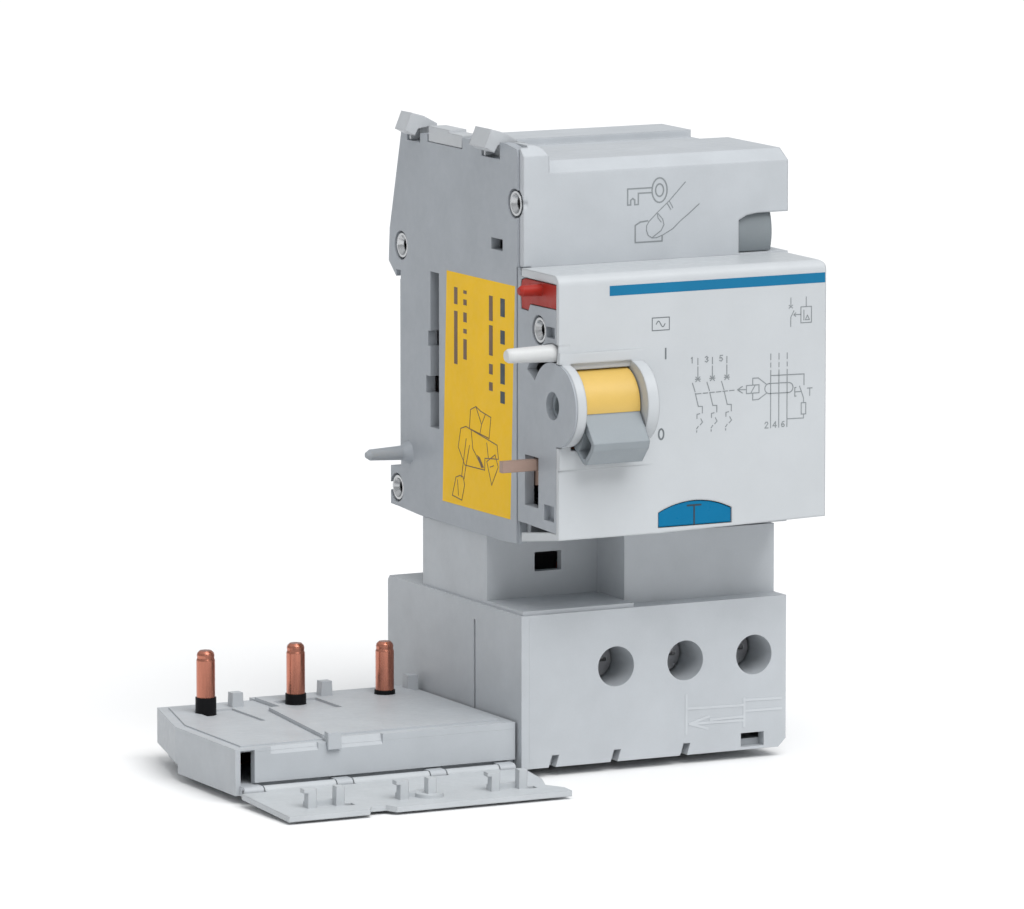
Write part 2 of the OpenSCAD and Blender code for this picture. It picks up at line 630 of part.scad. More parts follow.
// ---- terminals ----
module terminal_screw(i) from_corner() {
    at = screw_at(i);
    difference() {
        union() {
            rod_y(screw_head_y, screw_head_y + 2.6, at, 3.2);
            rod_y(screw_head_y + 2.5, busbar_y[0] - 0.1, at, screw_r);
        }
        for (size = [[4.6, 0.8], [0.8, 4.6]])
            block([at[0] - size[0] / 2, screw_head_y - 1, at[1] - size[1] / 2],
                [at[0] + size[0] / 2, screw_head_y + 1.4, at[1] + size[1] / 2]);
    }
}

module terminal_cage(i) from_corner() {
    at = screw_at(i);
    t = 1.4;
    difference() {
        block([at[0] - cage_w / 2, cage_y[0], at[1] - cage_h / 2],
            [at[0] + cage_w / 2, cage_y[1], at[1] + cage_h / 2]);
        block([at[0] - cage_w / 2 + t, cage_y[0] + t, 0], [at[0] + cage_w / 2 - t, cage_y[1] - t, 40]);
        rod_y(cage_y[0] - 1, cage_y[0] + t + 1, at, screw_fit_r);
    }
}

module terminal_screw_1() color([0.72, 0.73, 0.75]) terminal_screw(0);
module terminal_screw_2() color([0.72, 0.73, 0.75]) terminal_screw(1);
module terminal_screw_3() color([0.72, 0.73, 0.75]) terminal_screw(2);
module terminal_cage_1() color([0.78, 0.74, 0.55]) terminal_cage(0);
module terminal_cage_2() color([0.78, 0.74, 0.55]) terminal_cage(1);
module terminal_cage_3() color([0.78, 0.74, 0.55]) terminal_cage(2);

// ---- connection tray ----

// Plan of the tray as [X, Y], drawn in by the given amount
module tray_plan(inset) offset(delta = -inset) polygon([[tray_left_x, tray_front_y],
    [tray_right_x, tray_front_y], [tray_right_x, tray_back_y], [-30, tray_back_y + 0.7],
    [-48.7, tray_back_y + 1.3], [tray_left_x + 0.4, 40.7]]);

module tray_body() color([0.75, 0.76, 0.78]) from_corner() {
    difference() {
        flat_slab(-0.3, 7.1) tray_plan(0);
        flat_slab(tray_floor_z, 7.2) tray_plan(wall);
        // chamfer under the back edge, and the step above the flap's hinge
        side_slab(-60, 1) polygon([[53.9, -1], [62, -1], [62, 2], [60.5, 1.7]]);
        block([-53, 15, -1], [1, 16.3, 1.7]);
        // raised underside along the slanted left end
        intersection() {
            block([-60, 39.7, -1], [-44, 62, 1.55]);
            flat_slab(-1, 1.6) difference() {
                tray_plan(-2);
                tray_plan(1.4);
            }
        }
        // dark slot at the left of the front face
        block([-53.4, 15, 1.2], [-50.7, 18, 7.4]);
        front_chamfer(-47.7, -38.6);
        front_chamfer(-34.2, -26.2);
        for (i = poles) block([pin_x[i] + 2, 58, 1.4], [pin_x[i] + 5, 62, 2.4]);
    }
    // foot that carries the tray in the guide slot of the housing
    block([tray_right_x - eps, 31.75, 1.75], [2, 32.25, 7]);
    block([wall + gap, 29.8, 1.75], [3.1, 34.2, 7]);
    // knuckles for the flap's pin
    for (x = [[-53.6, -50], [-36, -33], [-18, -15], [-4.5, -1.5]]) difference() {
        union() {
            rod_x(x[0], x[1], hinge_at, knuckle_r);
            block([x[0], hinge_at[0], -0.3], [x[1], 17.2, 1.4]);
        }
        rod_x(x[0] - 1, x[1] + 1, hinge_at, hinge_pin_r + 0.02);
    }
}

module tray_cover_left() color([0.77, 0.78, 0.8]) from_corner() difference() {
    union() {
        flat_slab(7.1, tray_top_z - 0.5) intersection() {
            tray_plan(0);
            left_cover_plan(-eps);
        }
        flat_slab(tray_top_z - 0.6, tray_top_z - 0.25) intersection() {
            tray_plan(1.8);
            left_cover_plan(-eps);
        }
        tray_post(-36.4, tray_top_z - 0.7);
    }
    rod_z(0, 20, [pin_x[0], pin_y], 1.9);
    block([-53.4, 15, 1.2], [-50.7, 16.2, 7.45]);
    // shallow recess in front of the post
    block([-45.2, 38, tray_top_z - 0.6], [-37.8, 51.8, tray_top_z]);
    front_chamfer(-47.7, -38.6);
}

module tray_cover_right() color([0.77, 0.78, 0.8]) from_corner() difference() {
    union() {
        flat_slab(7.1, tray_top_z) difference() {
            tray_plan(0);
            left_cover_plan(0);
        }
        flat_slab(tray_top_z - eps, tray_top_z + 0.4) difference() {
            tray_plan(2.2);
            left_cover_plan(0);
        }
        tray_post(-19, tray_top_z);
        tray_post(-2, tray_top_z - 0.2);
        // tab that hangs over the front face
        block([-37, tray_front_y - 0.75, 6.5], [-34.5, tray_front_y, tray_top_z + 1.1]);
        block([-36.8, tray_front_y - eps, 7.1], [-34.5, tray_front_y + 1.2, tray_top_z + 1.1]);
    }
    for (i = [1, 2]) rod_z(0, 20, [pin_x[i], pin_y], 1.9);
    block([-30, 41, tray_top_z - 0.05], [-21.5, 51.8, tray_top_z + 1]);
    front_chamfer(-34.2, -26.2);
}

// Where the left cover ends, in plan
module left_cover_plan(grow) polygon([[-60, 10], [tray_split_x + grow, 10], [tray_split_x + grow, 15.4],
    [-33.2 + grow, 46.5], [-31 + grow, 46.5], [-31 + grow, 70], [-60, 70]]);

// Slanted flat along the top front edge
module front_chamfer(x0, x1) side_slab(x0, x1)
    polygon([[15, 6.5], [tray_front_y, 6.5], [tray_front_y + 1.1, 8.8], [15, 9.5]]);

// Tapered post that finds the breaker's underside
module tray_post(x, z) front_slab(52.4, 54.3)
    polygon([[x - 1.15, z - 0.5], [x + 1.15, z - 0.5], [x + 1, z + 3], [x - 1, z + 3]]);

// Copper strips from the pins to the housing, one behind the other
module tray_busbars() color([0.76, 0.45, 0.3]) from_corner() for (i = poles) {
    y = pin_y - 6.5 * (2 - i);
    block([pin_x[i] - 2, y - 2, tray_floor_z], [-2.4, y + 2, strip_top_z]);
    block([pin_x[i] - 2, y - 2, tray_floor_z], [pin_x[i] + 2, pin_y + 2.5, strip_top_z]);
}

module contact_pins() color([0.76, 0.43, 0.34]) from_corner() for (i = poles)
    translate([pin_x[i], pin_y, strip_top_z])
    rotate_extrude() pin_outline(sleeve_top(i) - strip_top_z, pin_top_z - pin_drop[i] - strip_top_z);

// Half outline of a pin: thin root in its sleeve, plain shank, a waist and a tapered tip
module pin_outline(root, h) polygon([[0, 0], [pin_root_r, 0], [pin_root_r, root], [pin_r, root],
    [pin_r, h - 1.7], [pin_r - 0.14, h - 1.3], [pin_r - 0.08, h - 0.8], [pin_r - 0.2, h - 0.4],
    [pin_r - 0.6, h], [0, h]]);

module pin_sleeves() color([0.07, 0.07, 0.08]) from_corner() for (i = poles) difference() {
    rod_z(6.5, sleeve_top(i), [pin_x[i], pin_y], 1.85);
    rod_z(6, 12, [pin_x[i], pin_y], pin_root_r);
}

// Flap that swings up over the breaker's lower screws
module terminal_flap() color([0.8, 0.81, 0.82]) from_corner()
    translate([0, hinge_at[0], hinge_at[1]]) rotate([flap_droop, 0, 0]) {
    t = 1;
    clip_x = [for (i = poles) pin_x[i] - 1.7];
    difference() {
        union() {
            flat_slab(0.25 - t, 0.25) flap_plan();
            for (x = [[-49.8, -36.2], [-32.8, -18.2], [-14.8, -4.7]]) rod_x(x[0], x[1], [0, 0], knuckle_r);
        }
        rod_x(-60, 0, [0, 0], hinge_pin_r + 0.06);
        // holes beside the outer clips
        for (i = [0, 2]) block([clip_x[i] + 3.7, -16.2, -1], [clip_x[i] + 5.3, -14.7, 1]);
    }
    for (i = poles) flap_clip(clip_x[i]);
    rod_z(0.2, 0.9, [pin_x[1] + 0.9, -14.6], 2.6);
}

// Plan of the flap from its hinge axis as [X, Y]
module flap_plan() polygon([[-49.8, 0.9], [-49.8, -1.6], [-54.6, -1.6], [-54.6, -flap_l], [-39.3, -flap_l],
    [-38.2, -flap_l + 1.9], [-35.4, -flap_l + 1.9], [-34.2, -flap_l], [-0.6, -flap_l], [-0.6, -flap_l + 2.8],
    [-2.8, -flap_l + 5.8], [-1.2, -10.2], [-0.6, -3.6], [-0.6, -1.6], [-4.7, -1.6], [-4.7, 0.9],
    [-14.8, 0.9], [-14.8, -1.6], [-18.2, -1.6], [-18.2, 0.9], [-32.8, 0.9], [-32.8, -1.6], [-36.2, -1.6],
    [-36.2, 0.9]]);

// Small U-shaped clip that snaps over a screw head's rim
module flap_clip(x) {
    for (side = [-3.5, 1.8]) block([x + side, -16, 0.2], [x + side + 1.6, -14.5, 3.6]);
    block([x - 4.3, -16, 2.9], [x - 3, -14.5, 3.6]);
    block([x - 3.5, -14.8, 0.2], [x + 3.4, -14.1, 1.2]);
}

module flap_hinge_pin() color([0.7, 0.71, 0.73]) from_corner() rod_x(-53.4, -1.6, hinge_at, hinge_pin_r);

left_side_plate();
main_housing();
front_cover();
terminal_base();
base_side_plate();
housing_rivets();
info_label();
coupling_hooks();
toggle_lever();
toggle_flag();
trip_rotor();
interlock_slider();
interlock_spring();
trip_lever();
trip_lever_pin();
test_button();
test_contact_spring();
release_button();
release_spring();
rail_latch();
rail_latch_spring();
toroid_core();
secondary_winding();
primary_conductors();
output_busbars();
trip_relay();
relay_plunger();
circuit_board();
board_parts();
terminal_screw_1();
terminal_screw_2();
terminal_screw_3();
terminal_cage_1();
terminal_cage_2();
terminal_cage_3();
tray_body();
tray_cover_left();
tray_cover_right();
tray_busbars();
contact_pins();
pin_sleeves();
terminal_flap();
flap_hinge_pin();
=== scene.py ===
import json
import math

import bmesh
import bpy
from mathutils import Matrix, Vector


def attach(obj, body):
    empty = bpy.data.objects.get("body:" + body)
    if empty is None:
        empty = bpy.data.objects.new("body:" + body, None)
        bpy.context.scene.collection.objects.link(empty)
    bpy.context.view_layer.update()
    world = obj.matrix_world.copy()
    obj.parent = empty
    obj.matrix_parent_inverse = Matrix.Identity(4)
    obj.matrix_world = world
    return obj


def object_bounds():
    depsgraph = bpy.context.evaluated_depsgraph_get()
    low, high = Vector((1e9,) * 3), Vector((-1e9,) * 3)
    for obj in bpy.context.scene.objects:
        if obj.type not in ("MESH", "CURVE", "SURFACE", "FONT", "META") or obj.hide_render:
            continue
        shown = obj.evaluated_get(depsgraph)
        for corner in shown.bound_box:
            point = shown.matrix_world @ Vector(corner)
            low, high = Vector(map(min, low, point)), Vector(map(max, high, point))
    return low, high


MM = 0.001
CORNER = Vector((26.25, 61.2, 65.0))          # the row's origin, from the housing's lower left front corner


def row(x, y, z):
    """A point counted in mm from the housing's corner, in the row frame."""
    return (Vector((x, y, z)) - CORNER) * MM


# ---- camera ----
DISTANCE = 1.5213                             # m, from the middle of the scene
LENS, SENSOR = 305, 36                        # mm
ASIDE, BELOW = 0.01448, 0.00128               # how far the view's axis leans left and down

yaw, pitch = math.radians(27.90), math.radians(8.18)
forward = Vector((math.cos(pitch) * math.sin(yaw), math.cos(pitch) * math.cos(yaw), -math.sin(pitch)))
right = Vector((math.cos(yaw), -math.sin(yaw), 0))
up = right.cross(forward)
eye = row(26, 20, 55) - forward * DISTANCE
aim = (forward - right * ASIDE - up * BELOW).normalized()
camera_data = bpy.data.cameras.new("camera")
camera = bpy.data.objects.new("camera", camera_data)
bpy.context.scene.collection.objects.link(camera)
camera_data.sensor_width = SENSOR
camera_data.lens = LENS
camera_data.clip_start, camera_data.clip_end = 0.05, 60
camera.location = eye
camera.rotation_euler = aim.to_track_quat("-Z", "Y").to_euler()
bpy.context.scene.camera = camera
bpy.context.scene.view_settings.view_transform = "Standard"

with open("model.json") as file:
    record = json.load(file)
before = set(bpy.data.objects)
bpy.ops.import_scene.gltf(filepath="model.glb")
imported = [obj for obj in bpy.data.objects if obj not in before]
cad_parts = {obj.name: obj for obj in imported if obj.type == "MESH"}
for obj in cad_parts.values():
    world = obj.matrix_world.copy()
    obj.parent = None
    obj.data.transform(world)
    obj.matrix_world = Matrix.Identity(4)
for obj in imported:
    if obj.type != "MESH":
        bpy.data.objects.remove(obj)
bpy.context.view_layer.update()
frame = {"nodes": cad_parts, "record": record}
nodes = frame["nodes"]


# ---- materials ----
ROUGH_SPREAD = 0.08                           # how far the roughness varies to either side
GRAIN_DEPTH = 0.02 * MM


def material(name, color, rough=0.5, metal=0.0, spread=0.04, grain=2600, bump=0.25,
             soft=0.0003, stretch=(1, 1, 1), mottle=140, spec=0.5):
    """A moulded or metal surface: mottled colour, uneven roughness, fine grain and slightly round edges."""
    m = bpy.data.materials.new(name)
    m.use_nodes = True
    tree = m.node_tree
    new, link = tree.nodes.new, tree.links.new
    shader = tree.nodes["Principled BSDF"]
    shader.inputs["Metallic"].default_value = metal
    shader.inputs["Specular IOR Level"].default_value = spec
    where = new("ShaderNodeTexCoord")
    mapping = new("ShaderNodeMapping")
    mapping.inputs["Scale"].default_value = stretch
    link(where.outputs["Object"], mapping.inputs["Vector"])

    def noise(scale, detail):
        n = new("ShaderNodeTexNoise")
        n.inputs["Scale"].default_value = scale
        n.inputs["Detail"].default_value = detail
        link(mapping.outputs["Vector"], n.inputs["Vector"])
        return n.outputs["Fac"]

    def ranged(value, low, high):
        n = new("ShaderNodeMapRange")
        n.inputs["From Min"].default_value = 0.3
        n.inputs["From Max"].default_value = 0.7
        n.inputs["To Min"].default_value = low
        n.inputs["To Max"].default_value = high
        link(value, n.inputs["Value"])
        return n.outputs["Result"]

    broad = noise(mottle, 4)
    fine = noise(grain, 3)
    tint = new("ShaderNodeMix")
    tint.data_type = "RGBA"
    tint.inputs["A"].default_value = [c * (1 - spread) for c in color] + [1]
    tint.inputs["B"].default_value = [min(1, c * (1 + spread)) for c in color] + [1]
    link(ranged(broad, 0, 1), tint.inputs["Factor"])
    speck = new("ShaderNodeMix")
    speck.data_type = "RGBA"
    speck.blend_type = "MULTIPLY"
    speck.inputs["Factor"].default_value = 0.5
    shade = new("ShaderNodeCombineColor")
    level = ranged(fine, 1 - spread, 1)
    for channel in ("Red", "Green", "Blue"):
        link(level, shade.inputs[channel])
    link(tint.outputs["Result"], speck.inputs["A"])
    link(shade.outputs["Color"], speck.inputs["B"])
    link(speck.outputs["Result"], shader.inputs["Base Color"])
    uneven = ranged(noise(mottle * 5, 3), rough - ROUGH_SPREAD, rough + ROUGH_SPREAD)
    link(uneven, shader.inputs["Roughness"])
    relief = new("ShaderNodeBump")
    relief.inputs["Strength"].default_value = bump
    relief.inputs["Distance"].default_value = GRAIN_DEPTH
    link(fine, relief.inputs["Height"])
    if soft:
        rounding = new("ShaderNodeBevel")
        rounding.samples = 4
        rounding.inputs["Radius"].default_value = soft
        link(rounding.outputs["Normal"], relief.inputs["Normal"])
    link(relief.outputs["Normal"], shader.inputs["Normal"])
    return m


GREY = (0.45, 0.475, 0.50)
MATERIALS = {
    "housing_grey": material("housing_grey", GREY, 0.46, soft=0.0005),
    # the left side plate is the housing's own plastic; this darker copy is painted shade for its left-facing
    # side
    "side_grey_painted_shade": material("side_grey_painted_shade", (0.335, 0.36, 0.39), 0.5, soft=0.00015),
    "base_grey": material("base_grey", GREY, 0.48, soft=0.0001),
    "cover_white": material("cover_white", (0.485, 0.508, 0.527), 0.36, spread=0.02, grain=2000, bump=0.05,
                            soft=0.0005),
    "clip_grey": material("clip_grey", (0.47, 0.49, 0.51), 0.42),
    "rivet_steel": material("rivet_steel", (0.50, 0.51, 0.52), 0.26, 1.0, spread=0.1, soft=0.0002),
    "label_yellow": material("label_yellow", (0.83, 0.50, 0.014), 0.5, spread=0.03, bump=0.08, soft=0,
                             spec=0.15),
    "toggle_grey": material("toggle_grey", (0.25, 0.28, 0.302), 0.36, soft=0.0005),
    "toggle_yellow": material("toggle_yellow", (0.63, 0.42, 0.105), 0.38, soft=0.0001),
    "pin_white": material("pin_white", (0.57, 0.58, 0.58), 0.4),
    "interlock_red": material("interlock_red", (0.34, 0.02, 0.012), 0.45, spec=0.3),
    "spring_steel": material("spring_steel", (0.60, 0.60, 0.61), 0.28, 1.0, soft=0),
    "lever_brown": material("lever_brown", (0.36, 0.25, 0.205), 0.5, spread=0.08),
    "steel": material("steel", (0.58, 0.58, 0.59), 0.3, 1.0, spread=0.08, stretch=(0.1, 1, 1)),
    "button_blue": material("button_blue", (0.0, 0.145, 0.30), 0.35, spread=0.03, bump=0.1, soft=0.0004,
                            spec=0.15),
    "spring_brass": material("spring_brass", (0.72, 0.54, 0.25), 0.32, 1.0),
    "button_dark": material("button_dark", (0.20, 0.225, 0.24), 0.4, soft=0.0005),
    "latch_dark": material("latch_dark", (0.07, 0.08, 0.09), 0.5),
    "core_black": material("core_black", (0.09, 0.095, 0.10), 0.6, spread=0.12),
    "copper": material("copper", (0.78, 0.36, 0.22), 0.34, 1.0, spread=0.1, soft=0.0002),
    "insulation_red": material("insulation_red", (0.22, 0.04, 0.03), 0.5, soft=0),
    "relay_black": material("relay_black", (0.04, 0.04, 0.045), 0.45),
    "board_green": material("board_green", (0.03, 0.15, 0.06), 0.35, spread=0.15, mottle=400, soft=0.0001),
    "part_black": material("part_black", (0.03, 0.03, 0.033), 0.4),
    "screw_steel": material("screw_steel", (0.50, 0.50, 0.51), 0.34, 1.0, spread=0.12, soft=0.0002),
    "cage_zinc": material("cage_zinc", (0.60, 0.55, 0.40), 0.36, 1.0, spread=0.12, soft=0.0002),
    "tray_grey": material("tray_grey", (0.44, 0.465, 0.49), 0.48, soft=0.0001),
    # the pins' copper is painted darker than the metal is, as painted dark reflection of dark surroundings
    "pin_copper": material("pin_copper", (0.53, 0.21, 0.145), 0.24, 1.0, spread=0.14, soft=0.0002,
                           stretch=(1, 1, 0.12), mottle=600, grain=3000, bump=0.4),
    "sleeve_black": material("sleeve_black", (0.006, 0.006, 0.007), 0.5, soft=0.0001, spec=0.12),
    "gauge_grey": material("gauge_grey", (0.50, 0.525, 0.55), 0.45, soft=0),
    "flap_grey": material("flap_grey", (0.47, 0.495, 0.515), 0.45, soft=0.0003),
}
INK = material("ink_grey", (0.15, 0.165, 0.175), 0.5, spread=0.1, soft=0, spec=0.2)
INK_LIGHT = material("ink_light", (0.22, 0.24, 0.25), 0.5, spread=0.1, soft=0)
INK_BLUE = material("ink_blue", (0.012, 0.155, 0.30), 0.45, spread=0.03, soft=0, spec=0.1)
INK_BROWN = material("ink_brown", (0.13, 0.07, 0.035), 0.5, spread=0.1, soft=0)
INK_DARK = material("ink_dark", (0.02, 0.035, 0.05), 0.5, spread=0.1, soft=0)

# the left side plate takes the darker grey of painted shade; the base parts take the housing grey with less
# edge rounding
PAINTED_SHADE_AND_SEAM_MATERIALS = {"left_side_plate": "side_grey_painted_shade", "base_side_plate": "base_grey", "terminal_base": "base_grey"}
for part in frame["record"]["subparts"]:
    kind = PAINTED_SHADE_AND_SEAM_MATERIALS.get(part["node"], part["material_slot"])
    mesh = nodes[part["node"]].data
    mesh.materials.clear()
    mesh.materials.append(MATERIALS[kind])


# ---- printed and raised marks ----
# A plane is a function from two coordinates in mm and a height off it to a point in the row frame
def front_plane(y):
    return lambda a, b, h: row(a, y - h, b)


def left_plane(x):
    return lambda a, b, h: row(x - h, a, b)


def add_prism(bm, corners, plane, height, sink=0.03):
    """A closed flat prism over the corners, raised off the plane."""
    lower = [bm.verts.new(plane(a, b, -sink)) for a, b in corners]
    upper = [bm.verts.new(plane(a, b, height)) for a, b in corners]
    n = len(corners)
    bm.faces.new(lower[::-1])
    bm.faces.new(upper)
    for i in range(n):
        j = (i + 1) % n
        bm.faces.new((lower[i], lower[j], upper[j], upper[i]))


def finish_piece(bm, name, body, mat):
    bmesh.ops.recalc_face_normals(bm, faces=bm.faces)
    mesh = bpy.data.meshes.new(name)
    bm.to_mesh(mesh)
    bm.free()
    mesh.materials.append(mat)
    piece = bpy.data.objects.new(name, mesh)
    bpy.context.scene.collection.objects.link(piece)
    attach(piece, body)
    return piece


# strokes of one piece stand at slightly different heights, so that none share a face where they cross
OVERLAP_STEP = 0.0015


def strokes(name, lines, width, plane, mat, body="housing", height=0.03, fills=()):
    """Lines of one width along the points of each path, and filled shapes, as one piece."""
    bm = bmesh.new()
    step = 0
    for path in lines:
        for (a0, b0), (a1, b1) in zip(path, path[1:]):
            length = math.hypot(a1 - a0, b1 - b0)
            if length < 1e-6:
                continue
            u, v = (a1 - a0) / length, (b1 - b0) / length
            e, w = width * 0.42, width / 2
            add_prism(bm, [(a0 - u * e + v * w, b0 - v * e - u * w),
                           (a1 + u * e + v * w, b1 + v * e - u * w),
                           (a1 + u * e - v * w, b1 + v * e + u * w),
                           (a0 - u * e - v * w, b0 - v * e + u * w)],
                      plane, height + OVERLAP_STEP * (step % 7))
            step += 1
    for shape in fills:
        add_prism(bm, shape, plane, height)
    return finish_piece(bm, name, body, mat)


def arc(ca, cb, ra, rb, start=0, end=360, steps=24):
    return [(ca + ra * math.cos(math.radians(start + (end - start) * i / steps)),
             cb + rb * math.sin(math.radians(start + (end - start) * i / steps))) for i in range(steps + 1)]


def rect(a0, b0, a1, b1):
    return [(a0, b0), (a1, b0), (a1, b1), (a0, b1), (a0, b0)]


def dashes(a0, b0, a1, b1, count, share=0.6):
    """A broken line of equal dashes."""
    out = []
    for i in range(count):
        s, e = i / count, (i + share) / count
        out.append([(a0 + (a1 - a0) * s, b0 + (b1 - b0) * s), (a0 + (a1 - a0) * e, b0 + (b1 - b0) * e)])
    return out


DIGITS = {
    "1": [[(0.25, 0.8), (0.5, 1), (0.5, 0)]],
    "2": [[(0.1, 0.75), (0.3, 1), (0.7, 1), (0.85, 0.75), (0.1, 0), (0.9, 0)]],
    "3": [[(0.1, 0.85), (0.5, 1), (0.85, 0.75), (0.45, 0.52), (0.9, 0.25), (0.5, 0), (0.1, 0.15)]],
    "4": [[(0.7, 0), (0.7, 1), (0.05, 0.3), (0.95, 0.3)]],
    "5": [[(0.85, 1), (0.25, 1), (0.15, 0.55), (0.6, 0.6), (0.88, 0.3), (0.55, 0), (0.1, 0.12)]],
    "6": [[(0.8, 0.95), (0.4, 0.9), (0.15, 0.45), (0.3, 0.05), (0.7, 0.05), (0.88, 0.3), (0.6, 0.55),
           (0.2, 0.4)]],
    "T": [[(0, 1), (1, 1)], [(0.5, 1), (0.5, 0)]],
}


def digit(which, a, b, width, height):
    return [[(a + u * width, b + v * height) for u, v in path] for path in DIGITS[which]]


cover = front_plane(0)
strokes("cover_stripe", [], 1, cover, INK_BLUE,
        fills=[[(9.9, 84.25), (52.3, 84.25), (52.3, 86.0), (9.9, 86.0)]])

# on and off marks beside the toggle, and the symbol of alternating current
strokes("toggle_marks", [[(20.85, 72.75), (20.85, 74.5)], arc(20.0, 59.6, 0.48, 0.88)], 0.3, cover, INK)
wave = [(19.0 + 1.7 * i / 16, 78.85 + 0.5 * math.sin(2 * math.pi * i / 16)) for i in range(17)]
strokes("current_symbol", [rect(18.2, 77.75, 21.55, 79.95), wave], 0.16, cover, INK)

# symbol of the switch with its release at the top right
strokes("release_symbol", [
    [(45.5, 81.9), (45.5, 80.4)], [(45.15, 80.6), (45.85, 80.1)], [(45.15, 80.1), (45.85, 80.6)],
    [(46.1, 79.6), (45.5, 78.5), (45.5, 76.9)], [(46.1, 78.9), (47.5, 78.9)],
    [(46.45, 79.2), (46.1, 78.9), (46.45, 78.6)], [(48.55, 81.9), (48.55, 80.2)],
    rect(47.5, 77.4, 49.6, 80.2), [(48.1, 77.9), (48.1, 79.6)],
    [(48.4, 77.9), (48.8, 78.7), (49.2, 77.9), (48.4, 77.9)]], 0.15, cover, INK_LIGHT)

# wiring diagram: three poles of the breaker, the release, the core and the test circuit
diagram = []
for i, number in enumerate("135"):
    x = 27.18 + 2.85 * i                      # each pole: wire, cross, switch, thermal and magnetic release
    diagram += [[(x, 72.4), (x, 71.3)], [(x, 70.9), (x, 68.9)]]
    diagram += [[(x - 0.4, 69.15), (x + 0.4, 68.35)], [(x - 0.4, 68.35), (x + 0.4, 69.15)]]
    diagram += [[(x - 0.5, 68.75), (x + 0.5, 68.75)]]
    diagram += [[(x - 1.05, 68.1), (x - 0.55, 66.6)], [(x - 0.5, 66.3), (x + 0.1, 64.0)]]
    diagram += [[(x + 0.1, 64.0), (x + 0.9, 63.95), (x + 0.9, 62.8)]]
    diagram += [[(x - 0.15, 61.9), (x - 0.15, 62.6), (x + 0.35, 62.7)]]
    diagram += [[(x + 0.6, 61.8), (x + 0.95, 61.2), (x + 0.5, 60.75)]]
    diagram += [[(x + 0.1, 60.5), (x - 0.2, 60.1)], [(x - 0.2, 59.75), (x - 0.2, 59.5)]]
    diagram += digit(number, x - 1.5, 71.65, 0.75, 1.0)
diagram += dashes(26.9, 66.2, 34.7, 66.4, 6, 0.7)
diagram += [[(36.76, 66.35), (35.1, 66.42)], [(35.95, 66.95), (35.0, 66.42), (35.95, 65.8)]]
diagram += [rect(36.76, 65.65, 39.25, 67.05), [(37.6, 65.65), (38.5, 67.05)]]
diagram += [[(38.0, 67.05), (38.0, 68.25), (39.1, 68.25), (40.7, 67.05)]]
diagram += [[(38.0, 65.65), (38.0, 64.45), (39.2, 64.5), (40.8, 65.5)]]
core_line = arc(41.3, 66.25, 0.9, 0.88, 90, 270, 10) + arc(45.1, 66.2, 0.9, 0.88, -90, 90, 10)
diagram += [core_line + [core_line[0]]]
for i, number in enumerate("246"):
    x = 41.56 + 1.63 * i
    diagram += [[(x, 72.3), (x, 71.3)], [(x, 70.7), (x, 70.0)], [(x, 69.4), (x, 59.35)]]
    diagram += digit(number, x - 1.2, 59.35, 0.8, 1.0)
diagram += [[(41.56, 68.5), (48.18, 68.4), (48.18, 66.5)], [(47.3, 66.3), (48.1, 64.2), (48.1, 63.35)]]
diagram += [rect(47.65, 61.35, 48.55, 63.35), [(48.1, 61.35), (48.1, 60.65), (44.82, 60.7)]]
diagram += [[(46.6, 66.1), (46.35, 66.1), (46.35, 64.6), (46.6, 64.6)], [(46.35, 65.35), (47.6, 65.35)]]
diagram += digit("T", 48.85, 64.55, 0.95, 1.3)
strokes("wiring_diagram", diagram, 0.17, cover, INK_LIGHT)

# key and finger on the upper box
BOX_FRONT = 13.9
upper_box = front_plane(BOX_FRONT)
strokes("key_symbol", [
    [(25.5, 100.8), (20.7, 100.8), (20.7, 98.0), (21.3, 98.0), (21.3, 98.8), (21.7, 99.1), (22.1, 98.8),
     (22.1, 98.0), (22.8, 98.0), (22.8, 99.95), (25.5, 99.95)],
    arc(26.98, 100.3, 1.48, 2.15), arc(26.98, 100.3, 0.78, 1.08),
    [(24.65, 95.05), (23.2, 94.9), (22.2, 94.35), (22.2, 91.36), (27.5, 91.36), (27.5, 92.3)]],
    0.26, upper_box, INK_LIGHT)
strokes("finger_symbol", [
    [(32.05, 101.45), (28.96, 98.4), (26.5, 96.35), (24.9, 94.9), (24.45, 94.2), (24.4, 93.4), (24.75, 92.5),
     (25.5, 92.0), (26.4, 92.0), (27.6, 92.4), (29.6, 93.4), (31.1, 94.7), (32.9, 96.0), (34.8, 97.5)],
    [(26.5, 96.3), (26.7, 95.4), (27.3, 94.7)],
    [(26.7, 96.2), (27.6, 95.2), (27.85, 94.2), (27.3, 93.2), (25.6, 92.1)],
    [(28.9, 98.3), (29.6, 97.1)], [(28.5, 97.9), (29.2, 96.8)]], 0.17, upper_box, INK_LIGHT)

# raised strip-length gauge on the base, which stands in line with the upper box, in the housing's plastic
strokes("wire_gauge", [
    [(32.55, 10.6), (32.55, 3.8)], [(32.55, 8.27), (44.15, 8.0)], [(44.15, 9.2), (44.15, 4.2)],
    [(44.15, 8.9), (51.5, 8.7)], [(44.15, 6.95), (51.5, 6.85)],
    [(33.2, 5.5), (44.15, 5.3)], [(37.0, 6.5), (33.2, 5.5), (36.8, 4.4)], [(37.4, 5.9), (44.15, 6.0)]],
    0.45, upper_box, MATERIALS["gauge_grey"], height=0.07)

# label: word bars in rows, and a small drawing of a device and a screwdriver
label = left_plane(0)


def word_rows(y, size, words):
    """One bar for each word of a line at y, from its upper end to its lower end."""
    return [[(y - size / 2, z1), (y + size / 2, z1), (y + size / 2, z0), (y - size / 2, z0)]
            for z1, z0 in words]


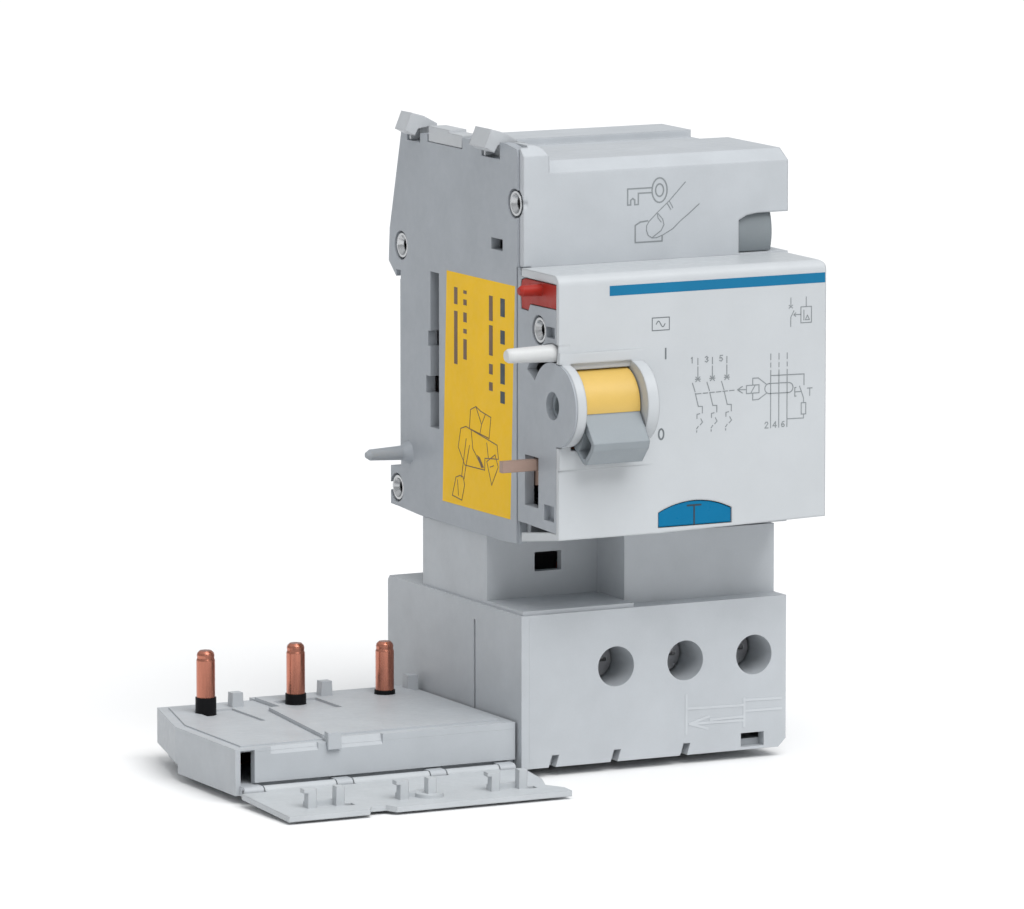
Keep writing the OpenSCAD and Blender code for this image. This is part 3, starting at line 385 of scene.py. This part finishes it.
strokes("label_words", [], 1, label, INK_BROWN, fills=(
    word_rows(35.6, 1.3, [(81.8, 81.2), (80.2, 79.2), (77.9, 76.2), (75.0, 74.2), (73.2, 69.6)])
    + word_rows(39.2, 1.3, [(82.0, 79.0), (77.8, 68.4)])
    + word_rows(25.6, 1.4, [(82.0, 77.6), (76.8, 71.5), (70.0, 68.2), (66.8, 65.3)])))
strokes("label_heading", [], 1, label, INK_DARK,
        fills=word_rows(21.1, 1.7, [(82.0, 78.8), (76.4, 74.0), (70.6, 67.0), (65.7, 63.6)]))
strokes("label_drawing", [
    [(33.5, 61.0), (31.4, 61.8), (29.6, 61.2), (25.6, 60.6), (26.3, 56.8), (33.9, 57.6), (33.5, 61.0)],
    [(31.4, 61.8), (29.2, 58.9), (29.8, 57.3)], [(29.2, 58.9), (27.8, 60.8)],
    [(37.3, 57.2), (35.3, 57.8), (23.2, 56.0), (22.7, 53.6), (27.9, 53.1), (28.0, 51.0), (35.7, 50.9),
     (38.3, 53.8), (37.3, 57.2)],
    [(33.2, 57.4), (32.6, 54.2), (29.6, 51.8)], [(27.2, 55.9), (26.6, 53.4)],
    [(24.0, 54.2), (22.8, 52.2), (25.3, 48.7), (27.2, 52.6), (24.0, 54.2)], [(24.6, 52.2), (25.9, 51.8)],
    [(35.2, 55.6), (36.6, 50.2), (37.0, 48.6)], [(33.9, 54.6), (35.6, 49.9), (36.0, 48.4)],
    [(37.6, 48.8), (39.2, 48.3), (40.6, 44.9), (36.9, 44.5), (35.8, 47.4), (36.4, 48.7), (37.6, 48.8)],
    [(38.6, 47.9), (38.2, 45.2)]], 0.17, label, INK_BROWN,
    fills=[[(31.0, 53.3), (29.9, 53.0), (28.3, 51.4), (29.3, 51.2)]])

# T on the test button
strokes("test_mark", [[(26.6, 46.7), (26.6, 43.2)], [(25.3, 46.75), (27.9, 46.75)]], 0.3, front_plane(0.15),
        INK_DARK, body="test")


# ---- floor and light ----
bpy.ops.mesh.primitive_plane_add(size=30, location=(0, 8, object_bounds()[0][2] - 0.0005))
floor = bpy.context.object
floor.name = "floor"
floor.data.materials.append(material("floor_paper", (0.86, 0.86, 0.86), 0.8, spread=0.01, grain=30, mottle=3,
                                     bump=0.02, soft=0, spec=0.1))

# a soft overcast sky, brighter overhead than near the ground
world = bpy.data.worlds.new("studio")
bpy.context.scene.world = world
world.use_nodes = True
tree = world.node_tree
direction = tree.nodes.new("ShaderNodeTexCoord")
split = tree.nodes.new("ShaderNodeSeparateXYZ")
level = tree.nodes.new("ShaderNodeMapRange")
level.inputs["To Min"].default_value = 0.40
level.inputs["To Max"].default_value = 0.85
tree.links.new(direction.outputs["Generated"], split.inputs["Vector"])
tree.links.new(split.outputs["Z"], level.inputs["Value"])
tree.links.new(level.outputs["Result"], tree.nodes["Background"].inputs["Strength"])
tree.nodes["Background"].inputs["Color"].default_value = (0.97, 0.985, 1.0, 1)


def sun(name, toward, strength, angle):
    """A soft distant light that comes from the given direction."""
    data = bpy.data.lights.new(name, "SUN")
    data.energy, data.angle = strength, math.radians(angle)
    lamp = bpy.data.objects.new(name, data)
    lamp.rotation_euler = (-Vector(toward)).to_track_quat("-Z", "Y").to_euler()
    bpy.context.scene.collection.objects.link(lamp)


sun("key", (0.05, -0.585, 0.81), 2.35, 45)
